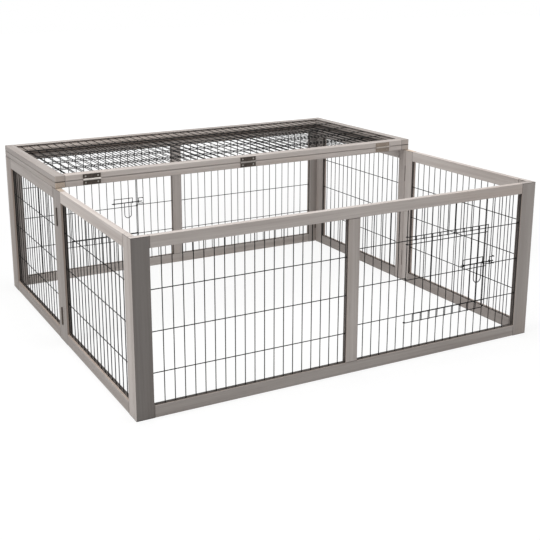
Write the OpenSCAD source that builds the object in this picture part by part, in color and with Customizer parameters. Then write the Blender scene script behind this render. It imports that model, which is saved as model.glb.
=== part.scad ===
// Folding rabbit pen: two long panels, two side walls that fold inward at a middle joint, a wire
// door with a sliding bolt in each long panel, and a cover of two leaves over the back half.
// The pen stands at its open size, with the front cover leaf folded back on the rear one.

/* [Pen] */
// Width over the outer faces of the side walls
pen_w = 1160; // [1100:5:1400]
// Depth over the outer faces of the front and back panels
pen_d = 1090; // [900:5:1300]
// Height of the walls
wall_h = 431; // [400:1:520]
// Thickness of the wall frames
frame_t = 16; // [14:0.5:20]
// Gap at each upright joint of the walls
wall_gap = 1; // [0.6:0.1:2]

/* [Frame members] */
// Width of the stiles at the four corners of the long panels
corner_stile_w = 45; // [36:1:60]
// Width of the stile in the middle of a long panel
mid_stile_w = 34; // [28:1:44]
// Height of the top rail of a long panel
top_rail_h = 28; // [24:1:40]
// Height of the top rail of the back panel, most of which lies behind the cover
back_rail_h = 17; // [16:1:40]
// Height of the bottom rail of a long panel
bottom_rail_h = 30; // [24:1:40]
// Width of the stile at the front end of a side wall
leaf_front_w = 30; // [26:1:44]
// Width of the stile at the rear end of a side wall
leaf_rear_w = 42; // [30:1:50]
// Width of the two stiles that meet at the middle joint of a side wall
leaf_mid_w = 33.5; // [28:0.5:44]
// Height of the rails of a side wall
leaf_rail_h = 31; // [24:1:40]
// Radius of the worn long edges of every member
arris_r = 1.5; // [0.8:0.1:3]
// Depth of the groove that holds the mesh
groove_depth = 5; // [3:0.5:8]
// Play of the mesh in its groove, on each side
groove_play = 0.15; // [0.1:0.05:0.3]

/* [Wire mesh] */
// Thickness of the mesh wire
wire_d = 2.2; // [1.6:0.1:2.6]
// Spacing of the upright wires
wire_pitch = 26; // [22:0.5:34]
// Spacing of the cross wires
row_pitch = 99.5; // [85:0.5:104]
// Least distance from a frame to the first upright wire
wire_margin = 13; // [8:1:20]
// Least distance from a frame to the last cross wire
row_margin = 30; // [20:1:40]
// How deep crossing wires are pressed into each other at a weld
weld = 0.3; // [0.2:0.05:0.5]
// How far the wire ends stand clear of the bottom of their groove
end_play = 0.3; // [0.1:0.1:1]
// Height of the lowest cross wire in the front panel's plain bay
front_row_z = 106; // [90:1:130]
// Height of the lowest cross wire in the back panel's plain bay
back_row_z = 120; // [90:1:130]
// Height of the lowest cross wire in the side walls
leaf_row_z = 118; // [90:1:130]
// How far the front mesh sits to the right of the middle of its bay
front_mesh_shift = 4; // [-8:1:8]
// How far the back mesh sits to the left of the middle of its bay
back_mesh_shift = 10; // [-10:1:11]

/* [Doors] */
// Height of the cross wire below the door opening
door_row_z = 122; // [110:1:130]
// Spacing of the upright wires in the door bays and the doors
door_pitch = 25.7; // [22:0.1:26.3]
// Distance from the middle stile to the first wire of the front door bay
front_bay_start = 19.5; // [14:0.5:24]
// Distance from the corner stile to the first wire of the back door bay
back_bay_start = 27; // [14:0.5:36]
// Number of wires between the middle stile and the hinge wire of the front door
front_hinge_col = 5; // [2:1:6]
// Number of wires between the corner stile and the hinge wire of the back door
back_hinge_col = 4; // [2:1:5]
// Width of the door opening in wire spacings
door_cols = 10; // [9:1:11]
// How far the door overlaps the wire at its closing side
door_overlap = 5; // [3:0.5:8]
// How far the door stands above its opening
door_over = 10.5; // [5:0.5:16]
// How far the second cross wire of the door lies below the top of the opening
door_second_drop = 9; // [5:0.5:20]
// How far the middle cross wire of the door lies below that of the mesh
door_mid_drop = 3.5; // [3:0.5:8]
// How far the fourth cross wire of the door lies above the foot of the opening
door_foot_rise = 1; // [0:0.5:8]
// How far the door hangs below its opening
door_under = 20; // [8:1:24]
// How much thicker than the others the upright wire at the closing side of the door is
door_rim_more = 0.35; // [0.25:0.05:0.6]
// Bend radius at the lower closing corner of the door
door_bend_r = 12; // [6:1:18]
// Play between the door's curled ends and the hinge wire
curl_play = 0.3; // [0.2:0.05:0.5]
// Part of a full turn that a curled end makes round the hinge wire
curl_angle = 270; // [180:10:300]

/* [Bolts] */
// Thickness of the bolt rod
bolt_d = 3.2; // [2.6:0.1:4]
// Length of the bolt rod
bolt_l = 109; // [100:1:120]
// How far the rod reaches past the middle of the catch eye
bolt_reach = 12.5; // [8:0.5:16]
// Height of the rod above the middle cross wire
bolt_rise = 9.5; // [7:0.5:14]
// Play of the rod in its eyes
eye_play = 0.15; // [0.1:0.05:0.3]
// Play between the rod and the door's wires
bolt_play = 0.3; // [0.2:0.05:0.6]
// Number of the door wire that carries the first eye
eye_col = 7; // [6:1:7]
// Distance from the first eye to the handle with the bolt drawn back
handle_stop = 9; // [5:0.5:12]
// Height of the bracket wire above the rod
bracket_rise = 15; // [12:0.5:22]
// Width of the U handle between the middles of its legs
handle_w = 24; // [20:1:27]
// Drop of the U handle below the rod
handle_drop = 53; // [36:1:70]
// Thickness of the handle wire
handle_d = 2.4; // [2:0.1:3]
// Distance from the handle to the second eye with the bolt shut
handle_gap = 5; // [4:0.5:8]
// Travel of the bolt
bolt_travel = 28; // [24:0.5:28]
// Distance from the edge of the door to the catch eye
catch_gap = 6.5; // [4:0.5:8]
// Height of the catch's upper wire above the rod
catch_rise = 12; // [8:0.5:16]
// Depth of the catch's lower wire below the rod
catch_drop = 7; // [6.5:0.5:8]
// How much thicker than the mesh wire the two posts of the catch are
catch_post_more = 0.6; // [0.5:0.05:0.8]
// How much thicker than the mesh wire the legs that hold the catch eye are
catch_leg_more = 0.3; // [0.2:0.05:0.4]

/* [Wall hinges] */
// Length of a wall hinge
butt_l = 50; // [40:1:70]
// Distance of a hinge's middle from the top or foot of the wall
butt_inset = 75; // [55:1:110]
// Width of the hinge plates in the corners of the pen
butt_plate_w = 12; // [9:0.5:13]
// How far the wider plates of the middle joints stop short of the inner face
joint_plate_back = 0.3; // [0.2:0.1:1]
// Thickness of the hinge plate
butt_plate_t = 1.2; // [0.8:0.1:1.6]
// Radius of the hinge knuckle
butt_knuckle_r = 2; // [1.7:0.1:2.6]
// Distance from a knuckle to the face of the frame
butt_clear = 0.15; // [0.1:0.05:0.4]
// Side play round a let-in plate
let_in_play = 0.1; // [0.05:0.05:0.3]
// Room round a knuckle in its recess
recess_play = 0.3; // [0.2:0.05:0.6]

/* [Hinge pins] */
// Radius of every hinge pin
pin_r = 1; // [0.8:0.05:1.2]
// Play of a pin in its knuckle
pin_play = 0.05; // [0.03:0.01:0.1]
// Play of the pin at the right front corner, where the ring of walls closes
closing_play = 0.1; // [0.05:0.01:0.15]
// Gap between neighbouring knuckles
knuckle_gap = 0.3; // [0.2:0.05:0.5]

/* [Cover] */
// Thickness of the cover frames
cover_t = 16; // [14:0.5:20]
// Width of the side members of a cover leaf
cover_side_w = 28; // [24:1:40]
// Width of the front and rear members of a cover leaf
cover_end_w = 29; // [24:1:40]
// How far the unfolded cover stops short of the front face
cover_short = 7; // [2:1:20]
// Gap between the walls and the cover
cover_gap = 0.4; // [0.3:0.1:1]
// Gap between the two folded leaves
leaf_gap = 0.6; // [0.4:0.1:1.5]
// Thickness of the wood under the groove of a cover leaf, whose mesh lies near its underside
cover_groove_z = 2.6; // [2:0.1:5]
// Distance from the seam edge to the first cross wire
cover_row_y = 119; // [60:1:125]
// Radius of the outer corners of the cover leaves
cover_corner_r = 4; // [2:0.5:8]

/* [Cover hinges] */
// Length of a cover hinge
strap_l = 50; // [44:1:70]
// Height of each hinge plate
strap_h = 11.5; // [9:0.5:12]
// Thickness of each hinge plate
strap_t = 1.2; // [0.8:0.1:1.6]
// Radius of the hinge knuckle
strap_knuckle_r = 2.5; // [2:0.1:2.8]
// Distance from the knuckle to the face of the wood
strap_clear = 0.2; // [0.15:0.05:0.5]
// Distance from the knuckle to the edge of the far plate
strap_gap = 0.4; // [0.3:0.1:0.8]
// Distance of the outer hinges from the sides of the pen
strap_inset = 103; // [80:1:200]
// Spacing of the two screws in a plate
screw_span = 35; // [28:1:36]
// Radius of a screw head
screw_head_r = 2.5; // [2:0.1:3]
// Radius of a screw shank
screw_r = 1.25; // [1:0.05:1.5]
// Length of a screw shank below its head
screw_l = 11; // [8:0.5:18]
// Play round a screw
screw_play = 0.1; // [0.05:0.05:0.2]

/* [Hidden] */
wood_colour = "#8f867f";
top_wood_colour = "#a09892";
wire_colour = "#1d1d1f";
plate_colour = "#4b4138";
screw_colour = "#c9c9cc";
// How far a cutter reaches past the face that it opens
past = 1;
arris_steps = 3;
bend_fn = 64;
ring_fn = 24;
pin_fn = 48;
// Eight-sided wire: corners lie this much outside the wire's radius, which keeps its section
wire_round = 1.04;
wire_flat = wire_d / 2 * wire_round * cos(22.5);
layer = 2 * wire_flat - weld;
// Bent wire is a little thicker still, so that its round ends cover the corners of the straight wire
bent_d = wire_d * 1.05;
door_rim_d = wire_d + door_rim_more;
catch_post_d = wire_d + catch_post_more;
catch_leg_d = wire_d + catch_leg_more;

bay_w = (pen_w - 2 * corner_stile_w - mid_stile_w) / 2;
right_bay_x = corner_stile_w + bay_w + mid_stile_w;
leaf_l = (pen_d - 2 * frame_t - 3 * wall_gap) / 2;
groove_w = 2 * wire_flat + layer + 2 * groove_play;
frame_groove = (frame_t - groove_w) / 2;
cover_mesh_z = cover_groove_z + groove_w / 2;
wire_bite = groove_depth - end_play;
// Upright wires lie towards the outer face, cross wires behind them
upright_y = (frame_t - layer) / 2;
cross_y = (frame_t + layer) / 2;

butt_k = butt_knuckle_r + butt_clear;
joint_plate_w = frame_t - joint_plate_back;
strap_k = strap_knuckle_r + strap_clear;
cover_d = (pen_d - 2 * strap_k - cover_short) / 2;
cover_y = pen_d - cover_d;
cover_z = wall_h + cover_gap;
seam_z = cover_z + cover_t + leaf_gap / 2;
strap_xs = [strap_inset, pen_w / 2, pen_w - strap_inset];

// Door measured from its hinge wire, x to the closing side, y to the inside of the pen
row_zs = [for (i = [0 : 2]) door_row_z + i * row_pitch];
door_edge = door_cols * door_pitch + door_overlap;
door_low = row_zs[0] - door_under;
door_high = row_zs[2] + door_over;
curl_r = wire_d / 2 * wire_round + curl_play + bent_d / 2;
door_cross_y = -curl_r;
door_upright_y = -curl_r - layer;
bracket_y = door_upright_y - layer;
bolt_r = bolt_d / 2;
bolt_y = door_upright_y - wire_flat - bolt_play - bolt_r;
bolt_z = row_zs[1] + bolt_rise;
eye_r = bolt_r + eye_play + bent_d / 2;
eye_x = eye_col * door_pitch;
eye_span = handle_stop + bolt_travel + handle_w + handle_gap;
catch_x = door_edge + catch_gap;
bolt_tip = catch_x + bolt_reach;
handle_x = eye_x + eye_span - handle_gap - handle_w;

// The origin is the middle of the footprint over everything that stands proud of the walls
front_reach = -(upright_y + bolt_y - eye_r - bent_d / 2);
back_reach = max(strap_k + strap_knuckle_r, front_reach);
pen_mid_y = (pen_d + back_reach - front_reach) / 2;

// Places in the pen, measured from its front left corner at the floor

module in_pen() translate([-pen_w / 2, -pen_mid_y, 0]) children();
module at_back() translate([0, pen_d, 0]) mirror([0, 1, 0]) children();
module at_right() translate([pen_w, 0, 0]) mirror([1, 0, 0]) children();
// A side wall leaf is drawn like a panel, from its corner to its middle joint
module as_leaf() translate([0, pen_d - frame_t - wall_gap, 0]) rotate([0, 0, -90]) children();
module left_rear() in_pen() as_leaf() children();
module left_front() in_pen() at_back() as_leaf() children();
module right_rear() in_pen() at_right() as_leaf() children();
module right_front() in_pen() at_right() at_back() as_leaf() children();
module rear_cover() in_pen() translate([0, cover_y, cover_z]) children();
module front_cover() in_pen() translate([0, cover_y, 2 * seam_z - cover_z]) mirror([0, 0, 1]) children();

// Wooden members: a rectangular section with worn edges and a groove for the mesh

function edge_arc(x, y, a) = [
    for (i = [0 : arris_steps])
        [x, y] + arris_r * [cos(a + 90 * i / arris_steps), sin(a + 90 * i / arris_steps)]
];

module section(w, t, low_groove, high_groove, at = frame_groove) {
    difference() {
        polygon(concat(
            edge_arc(w - arris_r, t - arris_r, 0),
            edge_arc(arris_r, t - arris_r, 90),
            edge_arc(arris_r, arris_r, 180),
            edge_arc(w - arris_r, arris_r, 270)
        ));
        if (low_groove) {
            translate([-past, at]) square([groove_depth + past, groove_w]);
        }
        if (high_groove) {
            translate([w - groove_depth, at]) square([groove_depth + past, groove_w]);
        }
    }
}

// A stile's groove ends at the rails, so that its own ends are whole
module stile(w, foot_h, head_h) {
    difference() {
        linear_extrude(wall_h) section(w, frame_t, false, false);
        translate([w - groove_depth, frame_groove, foot_h]) {
            cube([groove_depth + past, groove_w, wall_h - foot_h - head_h]);
        }
    }
}

module rail(l, h, top_groove, bottom_groove) {
    translate([0, 0, h]) rotate([0, 90, 0]) linear_extrude(l) {
        section(h, frame_t, top_groove, bottom_groove);
    }
}

// Straight wires are eight-sided prisms with flat sides towards the wires that they cross

module wire_z(l, d = wire_d) rotate([0, 0, 22.5]) cylinder(h = l, d = d * wire_round, $fn = 8);
module wire_x(l, d = wire_d) rotate([0, 90, 0]) wire_z(l, d);
module wire_y(l, d = wire_d) rotate([-90, 0, 0]) wire_z(l, d);

module wire_ring(r, turn) {
    rotate_extrude(angle = turn, $fn = bend_fn) translate([r, 0]) circle(d = bent_d, $fn = ring_fn);
}

function wire_count(bay) = 1 + floor((bay - 2 * wire_margin) / wire_pitch);
function wire_start(bay) = (bay - (wire_count(bay) - 1) * wire_pitch) / 2;
function row_count(room, first) = 1 + floor((room - first - row_margin) / row_pitch);

// Mesh in a bay that starts at x = 0 of its own frame, between the heights low and high
module bay_mesh(bay, low, high, first_row, shift) {
    for (i = [0 : wire_count(bay) - 1]) {
        x = wire_start(bay) + shift + i * wire_pitch;
        translate([x, upright_y, low - wire_bite]) wire_z(high - low + 2 * wire_bite);
    }
    for (j = [0 : row_count(high, first_row) - 1]) {
        translate([-wire_bite, cross_y, first_row + j * row_pitch]) wire_x(bay + 2 * wire_bite);
    }
}

// Mesh with the door opening cut out, its hinge wire at number col from the left
module door_bay_mesh(start, col, head_h) {
    count = 1 + floor((bay_w - start - wire_margin) / door_pitch);
    low = bottom_rail_h - wire_bite;
    high = wall_h - head_h + wire_bite;
    stub = wire_flat + weld;
    for (i = [0 : count - 1]) {
        translate([start + i * door_pitch, upright_y, 0]) {
            if (i > col && i < col + door_cols) {
                translate([0, 0, low]) wire_z(row_zs[0] + stub - low);
                translate([0, 0, row_zs[2] - stub]) wire_z(high - row_zs[2] + stub);
            } else {
                translate([0, 0, low]) wire_z(high - low);
            }
        }
    }
    for (z = [row_zs[0], row_zs[2]]) {
        translate([-wire_bite, cross_y, z]) wire_x(bay_w + 2 * wire_bite);
    }
    hinge_x = start + col * door_pitch;
    latch_x = hinge_x + door_cols * door_pitch;
    translate([-wire_bite, cross_y, row_zs[1]]) wire_x(hinge_x + stub + wire_bite);
    rest_l = bay_w + wire_bite - latch_x + stub;
    translate([latch_x - stub, cross_y, row_zs[1]]) wire_x(rest_l);
    translate([hinge_x, upright_y, 0]) catch_loop();
}

// Loop of wire welded to the mesh, with the eye that takes the rod
module catch_loop() {
    post_x = (door_cols + 1) * door_pitch;
    for (z = [bolt_z + catch_rise, bolt_z - catch_drop]) {
        post_l = catch_post_d / 2 - bolt_y - wire_flat + weld;
        translate([post_x, bolt_y - catch_post_d / 2, z]) wire_y(post_l, catch_post_d);
        translate([catch_x, bolt_y, z]) wire_x(post_x - catch_x);
    }
    for (turn = [0, 180]) {
        reach = turn == 0 ? catch_rise : catch_drop;
        translate([catch_x, bolt_y, bolt_z]) rotate([turn, 0, 0]) translate([0, 0, eye_r]) {
            wire_z(reach - eye_r + catch_leg_d / 2, catch_leg_d);
        }
    }
    translate([catch_x, bolt_y, bolt_z]) eye();
}

module eye() rotate([0, 90, 0]) wire_ring(eye_r, 360);

// Doors: welded wire with two close wires at top and foot, hung by curled wire ends

module door_wires() {
    curled = [door_low, row_zs[1] - door_mid_drop, row_zs[2] - door_second_drop, door_high];
    for (z = curled) {
        end_x = z == door_low ? door_edge - door_bend_r : door_edge;
        translate([0, door_cross_y, z]) wire_x(end_x);
        translate([0, 0, z]) rotate([0, 0, 270 - curl_angle]) wire_ring(curl_r, curl_angle);
    }
    foot_z = row_zs[0] + door_foot_rise;
    translate([door_pitch - wire_flat, door_cross_y, foot_z]) wire_x(door_edge - door_pitch + wire_flat);
    upright_l = door_high - door_low + 2 * wire_flat;
    for (i = [1 : door_cols - 1]) {
        translate([i * door_pitch, door_upright_y, door_low - wire_flat]) wire_z(upright_l);
    }
    rim_l = door_high - door_low - door_bend_r + wire_flat + weld;
    translate([door_edge, door_cross_y, door_low + door_bend_r]) wire_z(rim_l, door_rim_d);
    translate([door_edge - door_bend_r, door_cross_y, door_low + door_bend_r]) {
        rotate([90, 0, 0]) rotate([0, 0, -90]) wire_ring(door_bend_r, 90);
    }
}

module bolt_bracket() {
    for (x = [eye_x, eye_x + eye_span]) {
        translate([x, bolt_y, bolt_z]) eye();
        post_l = bracket_rise - eye_r + weld + wire_flat;
        translate([x, bracket_y, bolt_z + eye_r - weld]) wire_z(post_l);
    }
    translate([eye_x - wire_flat, bracket_y, bolt_z + bracket_rise]) wire_x(eye_span + 2 * wire_flat);
}

module bolt() {
    translate([bolt_tip - bolt_l, bolt_y, bolt_z]) rotate([0, 90, 0]) {
        cylinder(h = bolt_l, r = bolt_r, $fn = pin_fn);
    }
    leg = handle_drop - handle_w / 2;
    for (x = [handle_x, handle_x + handle_w]) {
        translate([x, bolt_y, bolt_z - leg]) cylinder(h = leg, d = handle_d, $fn = pin_fn);
    }
    translate([handle_x + handle_w / 2, bolt_y, bolt_z - leg]) rotate([90, 0, 0]) rotate([0, 0, 180]) {
        rotate_extrude(angle = 180, $fn = bend_fn) {
            translate([handle_w / 2, 0]) circle(d = handle_d, $fn = pin_fn);
        }
    }
}

front_hinge_x = right_bay_x + front_bay_start + front_hinge_col * door_pitch;
back_hinge_x = corner_stile_w + back_bay_start + back_hinge_col * door_pitch;
module at_front_door() in_pen() translate([front_hinge_x, upright_y, 0]) children();
module at_back_door() in_pen() at_back() translate([back_hinge_x, upright_y, 0]) children();

// Hinges: the pin stands on z = 0, plates with outer knuckles carry it, the middle one turns on it

module knuckles(l, r, outer) {
    part_l = (l - 2 * knuckle_gap) / 3;
    for (i = outer ? [0, 2] : [1]) {
        translate([0, 0, -l / 2 + i * (part_l + knuckle_gap)]) linear_extrude(part_l) children();
    }
}

module knuckle_section(r, reach, near, far) {
    circle(r, $fn = pin_fn);
    translate([0, near]) square([reach, far - near]);
}

// Wall hinge plate let into the edge of a frame, which lies beyond x = butt_k and y = wall_gap / 2
module butt_half(outer, play = pin_play, plate_w = butt_plate_w) {
    near = wall_gap / 2;
    difference() {
        union() {
            translate([butt_k, near, -butt_l / 2]) cube([plate_w, butt_plate_t, butt_l]);
            knuckles(butt_l, butt_knuckle_r, outer) {
                knuckle_section(butt_knuckle_r, butt_k + butt_plate_t, near, near + butt_plate_t);
            }
        }
        if (!outer) {
            translate([0, 0, -butt_l / 2]) cylinder(h = butt_l, r = pin_r + play, $fn = pin_fn);
        }
    }
    if (outer) {
        translate([0, 0, -butt_l / 2]) cylinder(h = butt_l, r = pin_r, $fn = pin_fn);
    }
}

module butt_recess(plate_w = butt_plate_w) {
    long = butt_l + 2 * let_in_play;
    wide = plate_w + let_in_play + past;
    translate([butt_k - past, wall_gap / 2 - past, -long / 2]) cube([wide, butt_plate_t + past, long]);
}

module knuckle_recess() {
    long = butt_l + 2 * let_in_play;
    wide = butt_knuckle_r + recess_play;
    deep = wide - wall_gap / 2 + past;
    translate([-wide, wall_gap / 2 - past, -long / 2]) cube([wide + butt_k, deep, long]);
}

module butt_heights() {
    for (z = [butt_inset, wall_h - butt_inset]) translate([0, 0, z]) children();
}

// Pin places on a leaf's corner, on its middle joint, and on the left corner of a panel
module leaf_corner() {
    butt_heights() translate([-wall_gap / 2, frame_t + butt_k, 0]) rotate([0, 0, -90]) children();
}
module leaf_joint() {
    butt_heights() translate([leaf_l + wall_gap / 2, -butt_k, 0]) rotate([0, 0, 90]) children();
}
module panel_corner() {
    butt_heights() translate([frame_t + butt_k, frame_t + wall_gap / 2, 0]) rotate([0, 0, 180]) children();
}

// Cover hinge: the pin lies on z, the wood beyond y = strap_k, the plate up the face along x
module strap_half(outer) {
    start = strap_knuckle_r + strap_gap;
    near = strap_k - strap_t;
    difference() {
        union() {
            translate([start, near, -strap_l / 2]) cube([strap_h, strap_t, strap_l]);
            knuckles(strap_l, strap_knuckle_r, outer) {
                knuckle_section(strap_knuckle_r, start + strap_t, near, strap_k);
            }
        }
        if (!outer) {
            translate([0, 0, -strap_l / 2]) cylinder(h = strap_l, r = pin_r + pin_play, $fn = pin_fn);
        }
        strap_screws() {
            cylinder(h = strap_t, r1 = screw_head_r + screw_play, r2 = screw_r + screw_play, $fn = pin_fn);
        }
    }
    if (outer) {
        translate([0, 0, -strap_l / 2]) cylinder(h = strap_l, r = pin_r, $fn = pin_fn);
    }
}

module strap_screws() {
    for (z = [-screw_span / 2, screw_span / 2]) {
        middle = strap_knuckle_r + strap_gap + strap_h / 2;
        translate([middle, strap_k - strap_t, z]) rotate([-90, 0, 0]) children();
    }
}

module screw() {
    cylinder(h = strap_t, r1 = screw_head_r, r2 = screw_r, $fn = pin_fn);
    translate([0, 0, strap_t]) cylinder(h = screw_l, r = screw_r, $fn = pin_fn);
}

module screw_hole() cylinder(h = strap_t + screw_l + screw_play, r = screw_r + screw_play, $fn = pin_fn);

module at_seam() for (x = strap_xs) translate([x, cover_y - strap_k, seam_z]) children();
module at_rear_edge() {
    for (x = strap_xs) translate([x, pen_d + strap_k, wall_h + cover_gap / 2]) rotate([0, 0, 180]) children();
}
module seam_lower() at_seam() rotate([0, 90, 0]) children();
module seam_upper() at_seam() mirror([0, 0, 1]) rotate([0, 90, 0]) children();
module back_lower() at_rear_edge() rotate([0, 90, 0]) children();
module back_upper() at_rear_edge() mirror([0, 0, 1]) rotate([0, 90, 0]) children();

// Members of a long panel

module panel_corner_stile(head_h) {
    difference() {
        stile(corner_stile_w, bottom_rail_h, head_h);
        panel_corner() butt_recess();
        panel_corner() knuckle_recess();
    }
}

module panel_mid_stile(head_h) {
    l = wall_h - bottom_rail_h - head_h;
    translate([corner_stile_w + bay_w, 0, bottom_rail_h]) linear_extrude(l) {
        section(mid_stile_w, frame_t, true, true);
    }
}

module panel_top_rail(h) {
    translate([corner_stile_w, 0, wall_h - h]) rail(pen_w - 2 * corner_stile_w, h, false, true);
}

module panel_bottom_rail() {
    translate([corner_stile_w, 0, 0]) rail(pen_w - 2 * corner_stile_w, bottom_rail_h, true, false);
}

// Members of a side wall leaf, whose corner stile is w wide

module leaf_corner_stile(w) {
    difference() {
        stile(w, leaf_rail_h, leaf_rail_h);
        leaf_corner() butt_recess();
    }
}

module leaf_joint_stile() {
    difference() {
        translate([leaf_l, 0, 0]) mirror([1, 0, 0]) stile(leaf_mid_w, leaf_rail_h, leaf_rail_h);
        leaf_joint() butt_recess(frame_t);
    }
}

module leaf_top_rail(w) {
    translate([w, 0, wall_h - leaf_rail_h]) rail(leaf_l - w - leaf_mid_w, leaf_rail_h, false, true);
}

module leaf_bottom_rail(w) translate([w, 0, 0]) rail(leaf_l - w - leaf_mid_w, leaf_rail_h, true, false);

module leaf_mesh(w) {
    bay = leaf_l - w - leaf_mid_w;
    translate([w, 0, 0]) bay_mesh(bay, leaf_rail_h, wall_h - leaf_rail_h, leaf_row_z, 0);
}

// The rear leaf of a side wall carries the pins of the middle joint
module rear_leaf_hinges() {
    leaf_corner() butt_half(true);
    leaf_joint() butt_half(true, plate_w = joint_plate_w);
}

module front_leaf_hinges() {
    leaf_corner() butt_half(true);
    leaf_joint() butt_half(false, plate_w = joint_plate_w);
}

// Members of a cover leaf, drawn flat from its seam edge at y = 0

module cover_side() {
    difference() {
        translate([0, 0, cover_t]) rotate([-90, 0, 0]) linear_extrude(cover_d) {
            section(cover_side_w, cover_t, false, false);
        }
        translate([cover_side_w - groove_depth, cover_end_w, cover_groove_z]) {
            cube([groove_depth + past, cover_d - 2 * cover_end_w, groove_w]);
        }
        corner_cut();
        translate([0, cover_d, 0]) mirror([0, 1, 0]) corner_cut();
    }
}

module corner_cut() {
    translate([0, 0, -past]) linear_extrude(cover_t + 2 * past) difference() {
        translate([-past, -past]) square(cover_corner_r + past);
        translate([cover_corner_r, cover_corner_r]) circle(cover_corner_r, $fn = pin_fn);
    }
}

module cover_end(groove_in) {
    translate([cover_side_w, 0, 0]) rotate([90, 0, 90]) linear_extrude(pen_w - 2 * cover_side_w) {
        section(cover_end_w, cover_t, !groove_in, groove_in, cover_groove_z);
    }
}

module cover_right() translate([pen_w, 0, 0]) mirror([1, 0, 0]) children();
module cover_far() translate([0, cover_d - cover_end_w, 0]) children();

module cover_mesh() {
    bay = pen_w - 2 * cover_side_w;
    for (i = [0 : wire_count(bay) - 1]) {
        x = cover_side_w + wire_start(bay) + i * wire_pitch;
        translate([x, cover_end_w - wire_bite, cover_mesh_z + layer / 2]) {
            wire_y(cover_d - 2 * cover_end_w + 2 * wire_bite);
        }
    }
    for (j = [0 : row_count(cover_d - cover_end_w, cover_row_y) - 1]) {
        y = cover_row_y + j * row_pitch;
        translate([cover_side_w - wire_bite, y, cover_mesh_z - layer / 2]) wire_x(bay + 2 * wire_bite);
    }
}

// Front panel

module front_left_stile() color(wood_colour) in_pen() panel_corner_stile(top_rail_h);
module front_right_stile() color(wood_colour) in_pen() at_right() panel_corner_stile(top_rail_h);
module front_mid_stile() color(wood_colour) in_pen() panel_mid_stile(top_rail_h);
module front_top_rail() color(top_wood_colour) in_pen() panel_top_rail(top_rail_h);
module front_bottom_rail() color(wood_colour) in_pen() panel_bottom_rail();

module front_left_mesh() color(wire_colour) in_pen() translate([corner_stile_w, 0, 0]) {
    bay_mesh(bay_w, bottom_rail_h, wall_h - top_rail_h, front_row_z, front_mesh_shift);
}

module front_right_mesh() color(wire_colour) in_pen() translate([right_bay_x, 0, 0]) {
    door_bay_mesh(front_bay_start, front_hinge_col, top_rail_h);
}

// The right front corner closes the ring of walls, so its pins have more play
module front_hinge_plates() color(plate_colour) in_pen() {
    panel_corner() butt_half(false);
    at_right() panel_corner() butt_half(false, closing_play);
}

// Back panel

module back_left_stile() color(wood_colour) in_pen() at_back() panel_corner_stile(back_rail_h);
module back_right_stile() color(wood_colour) in_pen() at_back() at_right() {
    panel_corner_stile(back_rail_h);
}

module back_mid_stile() color(wood_colour) in_pen() at_back() panel_mid_stile(back_rail_h);

module back_top_rail() color(top_wood_colour) in_pen() difference() {
    at_back() panel_top_rail(back_rail_h);
    back_lower() strap_screws() screw_hole();
}

module back_bottom_rail() color(wood_colour) in_pen() at_back() panel_bottom_rail();

module back_left_mesh() color(wire_colour) in_pen() at_back() translate([corner_stile_w, 0, 0]) {
    door_bay_mesh(back_bay_start, back_hinge_col, back_rail_h);
}

module back_right_mesh() color(wire_colour) in_pen() at_back() translate([right_bay_x, 0, 0]) {
    bay_mesh(bay_w, bottom_rail_h, wall_h - back_rail_h, back_row_z, -back_mesh_shift);
}

module back_hinge_plates() color(plate_colour) in_pen() {
    at_back() panel_corner() butt_half(false);
    at_back() at_right() panel_corner() butt_half(false);
    back_lower() strap_half(false);
}

module back_screws() color(screw_colour) in_pen() back_lower() strap_screws() screw();

// Left side wall

module left_rear_corner_stile() color(wood_colour) left_rear() leaf_corner_stile(leaf_rear_w);
module left_rear_joint_stile() color(wood_colour) left_rear() leaf_joint_stile();
module left_rear_top_rail() color(top_wood_colour) left_rear() leaf_top_rail(leaf_rear_w);
module left_rear_bottom_rail() color(wood_colour) left_rear() leaf_bottom_rail(leaf_rear_w);
module left_rear_mesh() color(wire_colour) left_rear() leaf_mesh(leaf_rear_w);
module left_rear_hinges() color(plate_colour) left_rear() rear_leaf_hinges();
module left_front_corner_stile() color(wood_colour) left_front() leaf_corner_stile(leaf_front_w);
module left_front_joint_stile() color(wood_colour) left_front() leaf_joint_stile();
module left_front_top_rail() color(top_wood_colour) left_front() leaf_top_rail(leaf_front_w);
module left_front_bottom_rail() color(wood_colour) left_front() leaf_bottom_rail(leaf_front_w);
module left_front_mesh() color(wire_colour) left_front() leaf_mesh(leaf_front_w);
module left_front_hinges() color(plate_colour) left_front() front_leaf_hinges();

// Right side wall

module right_rear_corner_stile() color(wood_colour) right_rear() leaf_corner_stile(leaf_rear_w);
module right_rear_joint_stile() color(wood_colour) right_rear() leaf_joint_stile();
module right_rear_top_rail() color(top_wood_colour) right_rear() leaf_top_rail(leaf_rear_w);
module right_rear_bottom_rail() color(wood_colour) right_rear() leaf_bottom_rail(leaf_rear_w);
module right_rear_mesh() color(wire_colour) right_rear() leaf_mesh(leaf_rear_w);
module right_rear_hinges() color(plate_colour) right_rear() rear_leaf_hinges();
module right_front_corner_stile() color(wood_colour) right_front() leaf_corner_stile(leaf_front_w);
module right_front_joint_stile() color(wood_colour) right_front() leaf_joint_stile();
module right_front_top_rail() color(top_wood_colour) right_front() leaf_top_rail(leaf_front_w);
module right_front_bottom_rail() color(wood_colour) right_front() leaf_bottom_rail(leaf_front_w);
module right_front_mesh() color(wire_colour) right_front() leaf_mesh(leaf_front_w);
module right_front_hinges() color(plate_colour) right_front() front_leaf_hinges();

// Rear cover leaf, hinged to the back panel, with the pins of both rows of hinges

module cover_rear_left_side() color(top_wood_colour) rear_cover() cover_side();
module cover_rear_right_side() color(top_wood_colour) rear_cover() cover_right() cover_side();

module cover_rear_seam_member() color(top_wood_colour) difference() {
    rear_cover() cover_end(true);
    in_pen() seam_lower() strap_screws() screw_hole();
}

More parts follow.
